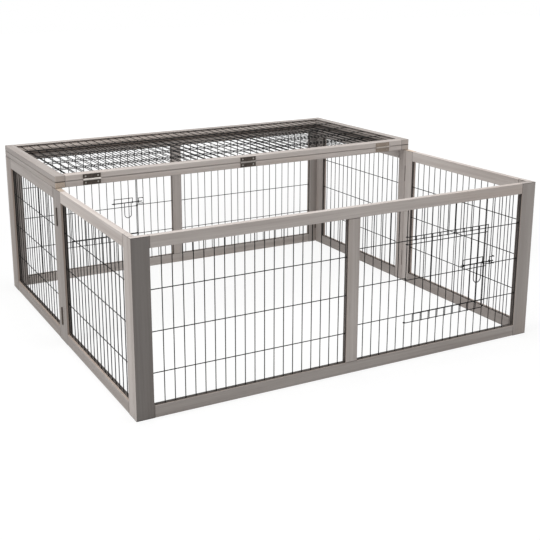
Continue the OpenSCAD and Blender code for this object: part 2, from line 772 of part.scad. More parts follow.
module cover_rear_back_member() color(top_wood_colour) difference() {
    rear_cover() cover_far() cover_end(false);
    in_pen() back_upper() strap_screws() screw_hole();
}

module cover_rear_mesh() color(wire_colour) rear_cover() cover_mesh();

module cover_rear_hinges() color(plate_colour) in_pen() {
    seam_lower() strap_half(true);
    back_upper() strap_half(true);
}

module cover_rear_screws() color(screw_colour) in_pen() {
    seam_lower() strap_screws() screw();
    back_upper() strap_screws() screw();
}

// Front cover leaf, folded back upside down on the rear one

module cover_front_left_side() color(top_wood_colour) front_cover() cover_side();
module cover_front_right_side() color(top_wood_colour) front_cover() cover_right() cover_side();

module cover_front_seam_member() color(top_wood_colour) difference() {
    front_cover() cover_end(true);
    in_pen() seam_upper() strap_screws() screw_hole();
}

module cover_front_end_member() color(top_wood_colour) front_cover() cover_far() cover_end(false);
module cover_front_mesh() color(wire_colour) front_cover() cover_mesh();
module cover_front_hinge_plates() color(plate_colour) in_pen() seam_upper() strap_half(false);
module cover_front_screws() color(screw_colour) in_pen() seam_upper() strap_screws() screw();

// Doors and bolts

module front_door() color(wire_colour) at_front_door() {
    door_wires();
    bolt_bracket();
}

module front_bolt() color(wire_colour) at_front_door() bolt();

module back_door() color(wire_colour) at_back_door() {
    door_wires();
    bolt_bracket();
}

module back_bolt() color(wire_colour) at_back_door() bolt();

front_left_stile();
front_right_stile();
front_mid_stile();
front_top_rail();
front_bottom_rail();
front_left_mesh();
front_right_mesh();
front_hinge_plates();
back_left_stile();
back_right_stile();
back_mid_stile();
back_top_rail();
back_bottom_rail();
back_left_mesh();
back_right_mesh();
back_hinge_plates();
back_screws();
left_rear_corner_stile();
left_rear_joint_stile();
left_rear_top_rail();
left_rear_bottom_rail();
left_rear_mesh();
left_rear_hinges();
left_front_corner_stile();
left_front_joint_stile();
left_front_top_rail();
left_front_bottom_rail();
left_front_mesh();
left_front_hinges();
right_rear_corner_stile();
right_rear_joint_stile();
right_rear_top_rail();
right_rear_bottom_rail();
right_rear_mesh();
right_rear_hinges();
right_front_corner_stile();
right_front_joint_stile();
right_front_top_rail();
right_front_bottom_rail();
right_front_mesh();
right_front_hinges();
cover_rear_left_side();
cover_rear_right_side();
cover_rear_seam_member();
cover_rear_back_member();
cover_rear_mesh();
cover_rear_hinges();
cover_rear_screws();
cover_front_left_side();
cover_front_right_side();
cover_front_seam_member();
cover_front_end_member();
cover_front_mesh();
cover_front_hinge_plates();
cover_front_screws();
front_door();
front_bolt();
back_door();
back_bolt();
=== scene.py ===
import math

import bmesh
import bpy
from mathutils import Matrix, Vector


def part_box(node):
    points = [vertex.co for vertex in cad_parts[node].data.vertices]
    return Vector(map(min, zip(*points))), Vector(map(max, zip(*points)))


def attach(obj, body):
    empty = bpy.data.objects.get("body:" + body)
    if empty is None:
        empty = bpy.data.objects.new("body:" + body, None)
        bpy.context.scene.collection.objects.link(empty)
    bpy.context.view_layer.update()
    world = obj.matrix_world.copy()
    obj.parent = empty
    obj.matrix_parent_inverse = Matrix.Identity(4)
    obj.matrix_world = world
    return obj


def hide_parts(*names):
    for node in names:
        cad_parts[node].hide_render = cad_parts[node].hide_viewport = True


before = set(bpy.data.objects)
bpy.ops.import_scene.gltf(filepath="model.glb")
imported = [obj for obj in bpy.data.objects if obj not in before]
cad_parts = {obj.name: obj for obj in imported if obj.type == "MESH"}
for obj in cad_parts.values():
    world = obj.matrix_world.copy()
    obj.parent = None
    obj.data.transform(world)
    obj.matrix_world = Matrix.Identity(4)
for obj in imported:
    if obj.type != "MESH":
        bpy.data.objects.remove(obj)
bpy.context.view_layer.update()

# Camera, floor and light
# The pen stands on a plain white sheet that runs out of sight, and is seen from the height of a
# standing person, from the front and left. One broad soft light hangs overhead, one stands high on
# the left, a weak one low in front and to the right, and the white room around lights the rest.

STAND = Vector((-1.26187, -2.37245, 0.97996))
TURNED, TIPPED, LEANED = 0.4612, -0.2499, -0.0107
ahead = Vector((math.sin(TURNED) * math.cos(TIPPED), math.cos(TURNED) * math.cos(TIPPED), math.sin(TIPPED)))
level = ahead.cross(Vector((0, 0, 1))).normalized()
upward = level.cross(ahead)
across = math.cos(LEANED) * level + math.sin(LEANED) * upward
upward = math.cos(LEANED) * upward - math.sin(LEANED) * level
view = bpy.data.cameras.new("standing_view")
view.lens, view.sensor_width = 62.59, 36.0
view.shift_x, view.shift_y = 0.0852, -0.1049
view.clip_start, view.clip_end = 0.1, 60.0
camera = bpy.data.objects.new("standing_view", view)
camera.matrix_world = Matrix.Translation(STAND) @ Matrix((across, upward, -ahead)).transposed().to_4x4()
bpy.context.scene.collection.objects.link(camera)
bpy.context.scene.camera = camera


def part(tree, kind, feeds=None, **choices):
    """One node of a finish, with what feeds each of its sockets."""
    made = tree.nodes.new(kind)
    for name, value in choices.items():
        setattr(made, name, value)
    for name, value in (feeds or {}).items():
        if isinstance(value, bpy.types.NodeSocket):
            tree.links.new(value, made.inputs[name])
        else:
            made.inputs[name].default_value = value
    return made


def seen_by_eye(tree):
    """1 for rays that look at the sheet or room straight, or in a glossy or clear surface."""
    rays = part(tree, "ShaderNodeLightPath").outputs
    feeds = {0: rays["Is Camera Ray"], 1: rays["Is Glossy Ray"]}
    either = part(tree, "ShaderNodeMath", feeds, operation="MAXIMUM").outputs[0]
    feeds = {0: either, 1: rays["Is Transmission Ray"]}
    return part(tree, "ShaderNodeMath", feeds, operation="MAXIMUM").outputs[0]


SHEET_REACH = 14.0
SHEET_GREY = (0.8, 0.8, 0.8, 1)
SHADE_GREY = (0.24, 0.24, 0.24, 1)
GLOW_UNDER_PEN, GLOW_FAR_OFF = 0.80, 1.05
PEN_REACH, FAR_REACH = 1.2, 4.5


def white_sheet():
    finish = bpy.data.materials.new("white_sheet")
    finish.use_nodes = True
    tree = finish.node_tree
    tree.nodes.clear()
    lit = part(tree, "ShaderNodeBsdfDiffuse", {"Color": SHEET_GREY})
    place = part(tree, "ShaderNodeTexCoord").outputs["Object"]
    away = part(tree, "ShaderNodeVectorMath", {0: place}, operation="LENGTH").outputs["Value"]
    feeds = {"Value": away, "From Min": PEN_REACH, "From Max": FAR_REACH}
    feeds.update({"To Min": GLOW_UNDER_PEN, "To Max": GLOW_FAR_OFF})
    whiteness = part(tree, "ShaderNodeMapRange", feeds).outputs[0]
    glow = part(tree, "ShaderNodeEmission", {"Color": (1, 1, 1, 1), "Strength": whiteness})
    shade = part(tree, "ShaderNodeBsdfDiffuse", {"Color": SHADE_GREY})
    bright = part(tree, "ShaderNodeAddShader", {0: glow.outputs[0], 1: shade.outputs[0]})
    feeds = {0: seen_by_eye(tree), 1: lit.outputs[0], 2: bright.outputs[0]}
    chosen = part(tree, "ShaderNodeMixShader", feeds)
    part(tree, "ShaderNodeOutputMaterial", {"Surface": chosen.outputs[0]})
    sheet = bpy.data.meshes.new("white_sheet")
    corners = [(x * SHEET_REACH, y * SHEET_REACH, 0) for x, y in ((-1, -1), (1, -1), (1, 1), (-1, 1))]
    sheet.from_pydata(corners, [], [(0, 1, 2, 3)])
    sheet.materials.append(finish)
    floor = bpy.data.objects.new("white_sheet", sheet)
    bpy.context.scene.collection.objects.link(floor)


ROOM_LIGHT = 0.33


def white_room():
    room = bpy.data.worlds.new("white_room")
    room.use_nodes = True
    tree = room.node_tree
    tree.nodes.clear()
    feeds = {"Value": seen_by_eye(tree), "To Min": ROOM_LIGHT, "To Max": 1.0}
    strength = part(tree, "ShaderNodeMapRange", feeds)
    glow = part(tree, "ShaderNodeBackground", {"Color": (1, 1, 1, 1), "Strength": strength.outputs[0]})
    part(tree, "ShaderNodeOutputWorld", {"Surface": glow.outputs[0]})
    bpy.context.scene.world = room


LIT_SPOT = Vector((0, 0, 0.2))


def soft_light(name, place, size, watts):
    lamp = bpy.data.lights.new(name, "AREA")
    lamp.size, lamp.energy = size, watts
    held = bpy.data.objects.new(name, lamp)
    held.location = place
    held.rotation_euler = (LIT_SPOT - Vector(place)).to_track_quat("-Z", "Y").to_euler()
    bpy.context.scene.collection.objects.link(held)


white_sheet()
white_room()
soft_light("overhead_light", (0.1, -0.1, 3.0), 2.2, 42)
soft_light("left_light", (-2.7, -0.6, 2.2), 1.6, 41)
soft_light("right_front_light", (1.25, -1.9, 0.9), 1.2, 5.6)
bpy.context.scene.view_settings.view_transform = "Standard"

# Timber of the front panel
# Planed strips of fir, 16 mm thick, with softened edges, glued up at the corners and brushed with
# a thin grey-brown glaze. The grain shows faintly through it. The edges that face the wire are
# painted with the shade of the groove that holds it, dark and then nearly black, apart from the lip
# at the outer face.

GLAZE_LOW = (0.395, 0.350, 0.325, 1)
GLAZE_HIGH = (0.545, 0.500, 0.470, 1)
GLAZE_BROWN = (0.430, 0.335, 0.275, 1)
# The dark of flecks and joint lines, and of the painted shade in gaps and on the edges at the wire.
FLECK_JOINT_AND_SHADE_DARK = (0.026, 0.020, 0.017, 1)
# Nearly black painted shade deep in the groove that holds the wire.
GROOVE_SHADE_BLACK = (0.007, 0.006, 0.006, 1)
SEAM_LINE, SEAM_FADE = 0.0006, 0.0018
GAP_LINE, GAP_FADE = 0.0007, 0.0010
EDGE_SHADE_RAGGED, EDGE_SHADE_FADE = 0.0012, 0.0014
GROOVE_SHADE_START, GROOVE_SHADE_FULL = 0.0010, 0.0018
GROOVE_SHADE_THIN, GROOVE_SHADE_END = 0.0045, 0.0070
GRAIN_HEIGHT = 0.0003
END_TAN_LOW = (0.46, 0.36, 0.28, 1)
END_TAN_HIGH = (0.68, 0.57, 0.47, 1)
AXES = "XYZ"


def sum_of(tree, how, *values):
    """A row of sums, each worked on the last: how is one of Blender's Math operations."""
    result = values[0]
    for value in values[1:]:
        result = part(tree, "ShaderNodeMath", {0: result, 1: value}, operation=how).outputs[0]
    return result


def eased(tree, value, start, end, low=0.0, high=1.0):
    feeds = {"Value": value, "From Min": start, "From Max": end, "To Min": low, "To Max": high}
    return part(tree, "ShaderNodeMapRange", feeds, interpolation_type="SMOOTHSTEP").outputs[0]


def blended(tree, share, first, second, how="MIX"):
    feeds = {0: share, 6: first, 7: second}
    return part(tree, "ShaderNodeMix", feeds, data_type="RGBA", blend_type=how).outputs[2]


def stretched(tree, place, along, fine, drawn, shift):
    """The place on a board, drawn out along the grain for a noise that runs with it."""
    scale = [fine, fine, fine]
    scale[AXES.index(along)] = drawn
    feeds = {"Vector": place, "Location": (shift, shift * 0.7, shift * 1.3), "Scale": scale}
    return part(tree, "ShaderNodeMapping", feeds).outputs[0]


def stained_fir(
    node, along, tone, edges, outer, lip=0.006, tan_ends=0.0, faces=(), brown=0.7, edge_shade_share=0.93, shade_gap_edges=(),
):
    """Glazed fir for one member: along is the axis of its grain, edges the sides that face the wire
    (such as +X or X for both), outer the side that shows outside, and tone lightens or darkens it.
    Single faces are painted lighter or darker for how the light falls on them: faces holds pairs of a
    side and its tone. Brown says how much of the bare brown shows on the edges, the next share how
    much painted shade of the groove darkens them past the lip, and the last names the lower or upper
    edge that is painted with the shade of the gap to the next piece."""
    seed = 1 + sorted(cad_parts).index(node)
    low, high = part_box(node)
    grain_axis = AXES.index(along)
    finish = bpy.data.materials.new("stained_fir_" + node)
    finish.use_nodes = True
    tree = finish.node_tree
    tree.nodes.clear()
    where = part(tree, "ShaderNodeTexCoord")
    place, facing = where.outputs["Object"], where.outputs["Normal"]
    spot = part(tree, "ShaderNodeSeparateXYZ", {0: place}).outputs
    sides = part(tree, "ShaderNodeSeparateXYZ", {0: facing}).outputs

    def turned(side):
        """How far a surface faces one side, such as -Y, or both when only the axis is given."""
        value = sides[AXES.index(side[-1])]
        if len(side) == 1:
            return sum_of(tree, "ABSOLUTE", value, 0.0)
        return sum_of(tree, "MULTIPLY", value, -1.0) if side[0] == "-" else value

    def noise(fine, drawn, shift, detail, rough=0.5):
        board = stretched(tree, place, along, fine, drawn, seed * shift)
        feeds = {"Vector": board, "Scale": 1.0, "Detail": detail, "Roughness": rough}
        return part(tree, "ShaderNodeTexNoise", feeds).outputs[0]

    slow = noise(16, 1.3, 0.37, 2.0)
    streak = noise(130, 2.6, 0.61, 2.0)
    fibre = noise(620, 9, 1.1, 3.0, 0.65)
    fleck = noise(260, 16, 2.3, 1.0)
    warm = noise(14, 2.4, 0.9, 2.0)
    board = stretched(tree, place, along, 6, 1.1, seed * 0.53)
    bend = part(tree, "ShaderNodeTexNoise", {"Vector": board, "Scale": 1.0, "Detail": 1.0}).outputs[1]
    pulled = part(tree, "ShaderNodeVectorMath", {0: bend, "Scale": 0.05}, operation="SCALE").outputs[0]
    bent = part(tree, "ShaderNodeVectorMath", {0: place, 1: pulled}, operation="ADD").outputs[0]
    heart = [0.11 + 0.013 * (seed % 5), -0.09 - 0.017 * (seed % 4), 0.13 + 0.011 * (seed % 7)]
    middle = (low + high) / 2
    heart = [heart[i] - middle[i] for i in range(3)]
    heart[grain_axis] = 0.0
    centred = part(tree, "ShaderNodeMapping", {"Vector": bent, "Location": heart}).outputs[0]
    feeds = {"Vector": centred, "Scale": 62 + 7 * (seed % 5), "Distortion": 1.2}
    feeds.update({"Detail": 1.0, "Detail Scale": 0.6})
    ringed = {"wave_type": "RINGS", "rings_direction": along, "wave_profile": "SAW"}
    rings = part(tree, "ShaderNodeTexWave", feeds, **ringed).outputs[1]
    grain = sum_of(
        tree, "ADD", sum_of(tree, "MULTIPLY", slow, 0.50), sum_of(tree, "MULTIPLY", streak, 0.32),
        sum_of(tree, "MULTIPLY", rings, 0.05), sum_of(tree, "MULTIPLY", fibre, 0.13))
    colour = blended(tree, eased(tree, grain, 0.34, 0.66), GLAZE_LOW, GLAZE_HIGH)
    colour = blended(tree, eased(tree, warm, 0.5, 0.78, 0.0, 0.30), colour, GLAZE_BROWN)
    colour = blended(tree, eased(tree, fleck, 0.68, 0.8, 0.0, 0.10), colour, FLECK_JOINT_AND_SHADE_DARK)
    cut = part(tree, "ShaderNodeTexNoise", {"Vector": place, "Scale": 900, "Detail": 2.0}).outputs[0]
    pores = sum_of(tree, "ADD", sum_of(tree, "MULTIPLY", rings, 0.5), sum_of(tree, "MULTIPLY", cut, 0.5))
    tan = blended(tree, pores, END_TAN_LOW, END_TAN_HIGH)
    end_colour = blended(tree, tan_ends, blended(tree, pores, GLAZE_LOW, GLAZE_HIGH), tan)
    ends = eased(tree, turned(along), 0.6, 0.8)
    colour = blended(tree, ends, colour, end_colour)
    from_low = sum_of(tree, "SUBTRACT", spot[grain_axis], low[grain_axis])
    from_high = sum_of(tree, "SUBTRACT", high[grain_axis], spot[grain_axis])
    nearest = sum_of(tree, "MINIMUM", from_low, from_high)
    seam = eased(tree, nearest, SEAM_LINE, SEAM_FADE, 0.8, 0.0)
    seam = sum_of(tree, "MULTIPLY", seam, sum_of(tree, "SUBTRACT", 1.0, ends))
    colour = blended(tree, seam, colour, FLECK_JOINT_AND_SHADE_DARK)
    beside = sum_of(tree, "SUBTRACT", 1.0, eased(tree, turned("Z"), 0.5, 0.8))
    # Painted shade of the gap to the next piece, on the faces beside the named edge.
    for gap in shade_gap_edges:
        if gap == "low":
            height = sum_of(tree, "SUBTRACT", spot[2], low.z)
        else:
            height = sum_of(tree, "SUBTRACT", high.z, spot[2])
        painted_gap_shade = eased(tree, height, GAP_LINE, GAP_LINE + GAP_FADE, 0.8, 0.0)
        colour = blended(tree, sum_of(tree, "MULTIPLY", painted_gap_shade, beside), colour, FLECK_JOINT_AND_SHADE_DARK)
    depth_axis = AXES.index(outer[-1])
    if outer[0] == "-":
        depth = sum_of(tree, "SUBTRACT", spot[depth_axis], low[depth_axis])
    else:
        depth = sum_of(tree, "SUBTRACT", high[depth_axis], spot[depth_axis])
    ragged = sum_of(tree, "ADD", depth, sum_of(tree, "MULTIPLY", fibre, EDGE_SHADE_RAGGED))
    inward = eased(tree, turned(edges), 0.78, 0.95)
    colour = blended(tree, sum_of(tree, "MULTIPLY", inward, brown), colour, GLAZE_BROWN)
    # Painted shade of the groove: the edges that face the wire darken past the lip, by the given share.
    groove_edge_shade = sum_of(tree, "MULTIPLY", inward, eased(tree, ragged, lip, lip + EDGE_SHADE_FADE))
    colour = blended(tree, sum_of(tree, "MULTIPLY", groove_edge_shade, edge_shade_share), colour, FLECK_JOINT_AND_SHADE_DARK)
    # A band of nearly black painted shade deep in the groove, which fades out again further in.
    deep_groove_shade = eased(tree, ragged, lip + GROOVE_SHADE_START, lip + GROOVE_SHADE_FULL)
    deep_shade_fade = eased(tree, ragged, lip + GROOVE_SHADE_THIN, lip + GROOVE_SHADE_END, 0.85, 0.0)
    deep_groove_shade = sum_of(tree, "MULTIPLY", inward, deep_groove_shade, deep_shade_fade)
    colour = blended(tree, deep_groove_shade, colour, GROOVE_SHADE_BLACK)
    # Painted light and shade: single faces made lighter or darker for how the light falls on them.
    for side, face_light_tone in faces:
        face_lit_colour = blended(tree, 1.0, colour, (face_light_tone, face_light_tone, face_light_tone, 1), "MULTIPLY")
        colour = blended(tree, eased(tree, turned(side), 0.6, 0.9), colour, face_lit_colour)
    colour = blended(tree, 1.0, colour, (tone, tone, tone, 1), "MULTIPLY")
    height = sum_of(tree, "ADD", sum_of(tree, "MULTIPLY", fibre, 0.7), sum_of(tree, "MULTIPLY", rings, 0.3))
    feeds = {"Height": height, "Strength": 0.3, "Distance": GRAIN_HEIGHT}
    bump = part(tree, "ShaderNodeBump", feeds).outputs[0]
    rough = eased(tree, fibre, 0.3, 0.7, 0.56, 0.70)
    feeds = {"Base Color": colour, "Roughness": rough, "Normal": bump}
    glazed = part(tree, "ShaderNodeBsdfPrincipled", feeds)
    glazed.inputs["Specular IOR Level"].default_value = 0.35
    part(tree, "ShaderNodeOutputMaterial", {"Surface": glazed.outputs[0]})
    return finish


def finished(node, finish):
    """Puts a finish on every slot of a member from the drawing."""
    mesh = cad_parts[node]
    if not mesh.material_slots:
        mesh.data.materials.append(finish)
    for seat in mesh.material_slots:
        seat.link = "OBJECT"
        seat.material = finish


# The side and tone pairs are painted light and shade: the fronts of the stiles darker, the tops lighter.
for node, along, tone, edges, lip, faces in (
    ("front_left_stile", "Z", 1.0, "+X", 0.002, (("-Y", 0.40), ("+Z", 1.35))),
    ("front_right_stile", "Z", 0.95, "-X", 0.002, (("-Y", 0.76), ("+Z", 1.1))),
    ("front_mid_stile", "Z", 0.96, "X", 0.002, ()),
    ("front_top_rail", "X", 1.08, "-Z", 0.006, (("+Z", 1.25),)),
    ("front_bottom_rail", "X", 0.80, "+Z", 0.003, ()),
):
    finished(node, stained_fir(node, along, tone, edges, "-Y", lip, 0.0, faces))

# Wire mesh of the front panel
# Welded steel wire, 2.2 mm thick, coated black. Upright wires lie outside and the cross wires are
# welded behind them. All the wire ends are seated in a groove in the frame.


COAT_BLACK = (0.004, 0.004, 0.004, 1)
COAT_DUSTY = (0.014, 0.013, 0.013, 1)
SKIN_HEIGHT = 0.0001
CLOSE_BY = 0.00002


def black_wire():
    finish = bpy.data.materials.new("black_coated_wire")
    finish.use_nodes = True
    tree = finish.node_tree
    tree.nodes.clear()
    place = part(tree, "ShaderNodeTexCoord").outputs["Object"]
    skin = part(tree, "ShaderNodeTexNoise", {"Vector": place, "Scale": 1500, "Detail": 2.0}).outputs[0]
    dust = part(tree, "ShaderNodeTexNoise", {"Vector": place, "Scale": 45, "Detail": 3.0}).outputs[0]
    colour = blended(tree, eased(tree, dust, 0.35, 0.8), COAT_BLACK, COAT_DUSTY)
    feeds = {"Height": skin, "Strength": 0.3, "Distance": SKIN_HEIGHT}
    bump = part(tree, "ShaderNodeBump", feeds).outputs[0]
    dull = eased(tree, skin, 0.3, 0.7, 0.40, 0.55)
    feeds = {"Base Color": colour, "Roughness": dull, "Normal": bump}
    coat = part(tree, "ShaderNodeBsdfPrincipled", feeds)
    coat.inputs["Specular IOR Level"].default_value = 0.12
    part(tree, "ShaderNodeOutputMaterial", {"Surface": coat.outputs[0]})
    return finish


def round_wire_shading():
    """The drawing's wires have flat sides. This shades them as the round wire that they are."""
    group = bpy.data.node_groups.new("round_wire_shading", "GeometryNodeTree")
    group.interface.new_socket("Geometry", in_out="INPUT", socket_type="NodeSocketGeometry")
    group.interface.new_socket("Geometry", in_out="OUTPUT", socket_type="NodeSocketGeometry")
    taken = group.nodes.new("NodeGroupInput")
    feeds = {"Geometry": taken.outputs[0], "Distance": CLOSE_BY}
    closed = part(group, "GeometryNodeMergeByDistance", feeds)
    feeds = {"Geometry": closed.outputs[0], "Shade Smooth": True}
    smooth = part(group, "GeometryNodeSetShadeSmooth", feeds)
    given = group.nodes.new("NodeGroupOutput")
    group.links.new(smooth.outputs[0], given.inputs[0])
    return group


coated = black_wire()
rounded = round_wire_shading()


def wired(node):
    finished(node, coated)
    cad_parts[node].modifiers.new("round_wire", "NODES").node_group = rounded


wired("front_left_mesh")
wired("front_right_mesh")

# Back panel
# The same frame and mesh as the front panel, seen from inside through the pen. Its door is in the
# left bay.

for node, along, tone, edges in (
    ("back_left_stile", "Z", 0.92, "+X"),
    ("back_right_stile", "Z", 0.84, "-X"),
    ("back_mid_stile", "Z", 1.0, "X"),
    ("back_top_rail", "X", 1.05, "-Z"),
    ("back_bottom_rail", "X", 1.0, "+Z"),
):
    finished(node, stained_fir(node, along, tone, edges, "+Y"))
wired("back_left_mesh")
wired("back_right_mesh")

# Side walls
# Each side wall is two leaves that meet at a middle joint, so that the pen folds flat. A leaf is a
# frame of two stiles and two rails round one mesh.

for name, outer, toward_joint, toward_corner, tones in (
    ("left_rear", "-X", "-Y", "+Y", (0.72, 0.68, 0.82, 0.70)),
    ("left_front", "-X", "+Y", "-Y", (1.0, 0.68, 1.08, 0.78)),
    ("right_rear", "+X", "-Y", "+Y", (1.0, 1.05, 1.05, 0.86)),
    ("right_front", "+X", "+Y", "-Y", (1.0, 1.05, 1.1, 0.80)),
):
    corner_tone, joint_tone, top_tone, bottom_tone = tones
    for piece, along, tone, edges, tan_ends in (
        ("corner_stile", "Z", corner_tone, toward_joint, 0.0),
        ("joint_stile", "Z", joint_tone, toward_corner, 0.9),
        ("top_rail", "Y", top_tone, "-Z", 0.0),
        ("bottom_rail", "Y", bottom_tone, "+Z", 0.0),
    ):
        node = name + "_" + piece
        # The tops are painted lighter, where the light from above falls on them.
        finish = stained_fir(node, along, tone, edges, outer, 0.006, tan_ends, (("+Z", 1.35),))
        finished(node, finish)
    wired(name + "_mesh")

# Cover
# Two framed leaves of the same strips over the back half. The rear leaf is hinged to the back
# panel, and the front leaf lies folded back on it, upside down. The long side pieces run through,
# so their end grain shows at the corners.

# For each leaf: the lip, the shares of bare brown and of painted groove shade on the edges that face the
# wire, and the edges painted with the shade of the gap to the next piece.
for leaf, outer, lip, brown, edge_shade_share, shade_gap_edges, left_tan, end_piece in (
    ("rear", "+Z", 0.0012, 0.7, 0.80, ("low", "high"), 0.8, "back_member"),
    ("front", "-Z", 0.0120, 0.10, 0.97, ("low",), 0.25, "end_member"),
):
    # The -X face of the left side piece is painted darker and the -Y face of the end piece lighter, for how
    # the light falls on them.
    for piece, along, tone, edges, tan_ends, faces in (
        ("left_side", "Y", 0.94, "+X", left_tan, (("-X", 0.80),)),
        ("right_side", "Y", 1.0, "-X", 0.1, ()),
        ("seam_member", "X", 1.2, "+Y", 0.0, ()),
        (end_piece, "X", 1.0, "-Y", 0.0, (("-Y", 1.5),)),
    ):
        node = "cover_" + leaf + "_" + piece
        finish = stained_fir(node, along, tone, edges, outer, lip, tan_ends, faces, brown, edge_shade_share, shade_gap_edges)
        finished(node, finish)
    wired("cover_" + leaf + "_mesh")

# Hinges
# Pressed steel plates with a dark bronze finish, rolled into knuckles round a steel pin. On the
# cover the knuckles are coloured a bright steel, most on the left hinge, and the right hinge on the
# seam, with its screws, is coloured tan.

KNUCKLE = 0.0025
KNUCKLE_BRIGHT_START, KNUCKLE_BRIGHT_END = 0.0001, 0.0004
BRONZE_DARK = (0.034, 0.026, 0.021, 1)
BRONZE_BROWN = (0.080, 0.062, 0.050, 1)
BRONZE_PALE = (0.20, 0.17, 0.15, 1)
SCRATCHED = (0.16, 0.13, 0.10, 1)
KNUCKLE_STEEL_BRIGHT = (0.66, 0.62, 0.58, 1)
HINGE_TAN = (0.33, 0.27, 0.22, 1)
TAN_START, TAN_FULL = 0.30, 0.34
SEAM_NEAR, SEAM_PAST = 0.1, 0.2
LEFT_HINGE_END, LEFT_HINGE_PAST = -0.20, -0.16
seam_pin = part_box("cover_front_hinge_plates")[0] + Vector((0, KNUCKLE, KNUCKLE))
rear_low, rear_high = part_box("cover_rear_hinges")
rear_pin = Vector((0, rear_high.y - KNUCKLE, rear_low.z + KNUCKLE))


def tan_on_right_hinge(tree, place, colour, most):
    """Lays the tan of the right hinge on the cover's seam over a colour."""
    spot = part(tree, "ShaderNodeSeparateXYZ", {0: place}).outputs
    at_right = eased(tree, spot[0], TAN_START, TAN_FULL, 0.0, most)
    at_seam = eased(tree, spot[1], SEAM_NEAR, SEAM_PAST, 1.0, 0.0)
    return blended(tree, sum_of(tree, "MULTIPLY", at_right, at_seam), colour, HINGE_TAN)


def dark_bronze(name, light, pins=()):
    """Bronzed plate. The knuckles round each of the pins, which run along X, are coloured bright steel."""
    finish = bpy.data.materials.new("dark_bronze_" + name)
    finish.use_nodes = True
    tree = finish.node_tree
    tree.nodes.clear()
    place = part(tree, "ShaderNodeTexCoord").outputs["Object"]
    cloud = part(tree, "ShaderNodeTexNoise", {"Vector": place, "Scale": 160, "Detail": 4.0}).outputs[0]
    rolled = part(tree, "ShaderNodeMapping", {"Vector": place, "Scale": (60, 900, 900)}).outputs[0]
    feeds = {"Vector": rolled, "Scale": 1.0, "Detail": 2.0}
    scratch = part(tree, "ShaderNodeTexNoise", feeds).outputs[0]
    colour = blended(tree, eased(tree, cloud, 0.3, 0.7), BRONZE_DARK, BRONZE_BROWN)
    colour = blended(tree, light, colour, BRONZE_PALE)
    colour = blended(tree, eased(tree, scratch, 0.62, 0.75, 0.0, 0.4), colour, SCRATCHED)
    if pins:
        colour = tan_on_right_hinge(tree, place, colour, 0.8)
        feeds = {0: place, 1: (0, 1, 1)}
        side_on = part(tree, "ShaderNodeVectorMath", feeds, operation="MULTIPLY").outputs[0]
        across_pen = part(tree, "ShaderNodeSeparateXYZ", {0: place}).outputs[0]
        knuckle_brightness = eased(tree, across_pen, LEFT_HINGE_END, LEFT_HINGE_PAST, 0.95, 0.35)
        knuckle_brightness = sum_of(tree, "MULTIPLY", knuckle_brightness, eased(tree, scratch, 0.2, 0.5, 0.75, 1.0))
        for pin in pins:
            feeds = {0: side_on, 1: (0, pin.y, pin.z)}
            apart = part(tree, "ShaderNodeVectorMath", feeds, operation="DISTANCE").outputs["Value"]
            knuckle_bright = eased(tree, apart, KNUCKLE + KNUCKLE_BRIGHT_START, KNUCKLE + KNUCKLE_BRIGHT_END, 1.0, 0.0)
            colour = blended(tree, sum_of(tree, "MULTIPLY", knuckle_bright, knuckle_brightness), colour, KNUCKLE_STEEL_BRIGHT)
    feeds = {"Height": scratch, "Strength": 0.2, "Distance": SKIN_HEIGHT}
    bump = part(tree, "ShaderNodeBump", feeds).outputs[0]
    rough = eased(tree, cloud, 0.2, 0.8, 0.42, 0.58)
    feeds = {"Base Color": colour, "Roughness": rough, "Normal": bump, "Metallic": 0.45}
    plate = part(tree, "ShaderNodeBsdfPrincipled", feeds)
    part(tree, "ShaderNodeOutputMaterial", {"Surface": plate.outputs[0]})
    return finish


finished("cover_front_hinge_plates", dark_bronze("front_leaf", 0.0, [seam_pin]))
finished("cover_rear_hinges", dark_bronze("rear_leaf", 0.0, [seam_pin, rear_pin]))
finished("back_hinge_plates", dark_bronze("back_panel", 0.0, [rear_pin]))
wall_bronze = dark_bronze("walls", 0.35)
finished("front_hinge_plates", wall_bronze)
for leaf in ("left_rear", "left_front", "right_rear", "right_front"):
    finished(leaf + "_hinges", wall_bronze)

# Screws
# Bright zinc countersunk screws with a cross recess, two in each plate of the cover's hinges. They
# are driven in by hand, so no two crosses stand alike.


ZINC_DULL = (0.30, 0.285, 0.265, 1)
ZINC_BRIGHT = (0.48, 0.46, 0.43, 1)


def bright_zinc():
    finish = bpy.data.materials.new("bright_zinc")
    finish.use_nodes = True
    tree = finish.node_tree
    tree.nodes.clear()
    place = part(tree, "ShaderNodeTexCoord").outputs["Object"]
    cloud = part(tree, "ShaderNodeTexNoise", {"Vector": place, "Scale": 700, "Detail": 3.0}).outputs[0]
    colour = blended(tree, eased(tree, cloud, 0.3, 0.75), ZINC_DULL, ZINC_BRIGHT)
    colour = tan_on_right_hinge(tree, place, colour, 0.75)
    feeds = {"Height": cloud, "Strength": 0.15, "Distance": SKIN_HEIGHT}
    bump = part(tree, "ShaderNodeBump", feeds).outputs[0]
    rough = eased(tree, cloud, 0.3, 0.7, 0.36, 0.5)
    feeds = {"Base Color": colour, "Roughness": rough, "Normal": bump, "Metallic": 0.6}
    zinc = part(tree, "ShaderNodeBsdfPrincipled", feeds)
    part(tree, "ShaderNodeOutputMaterial", {"Surface": zinc.outputs[0]})
    return finish


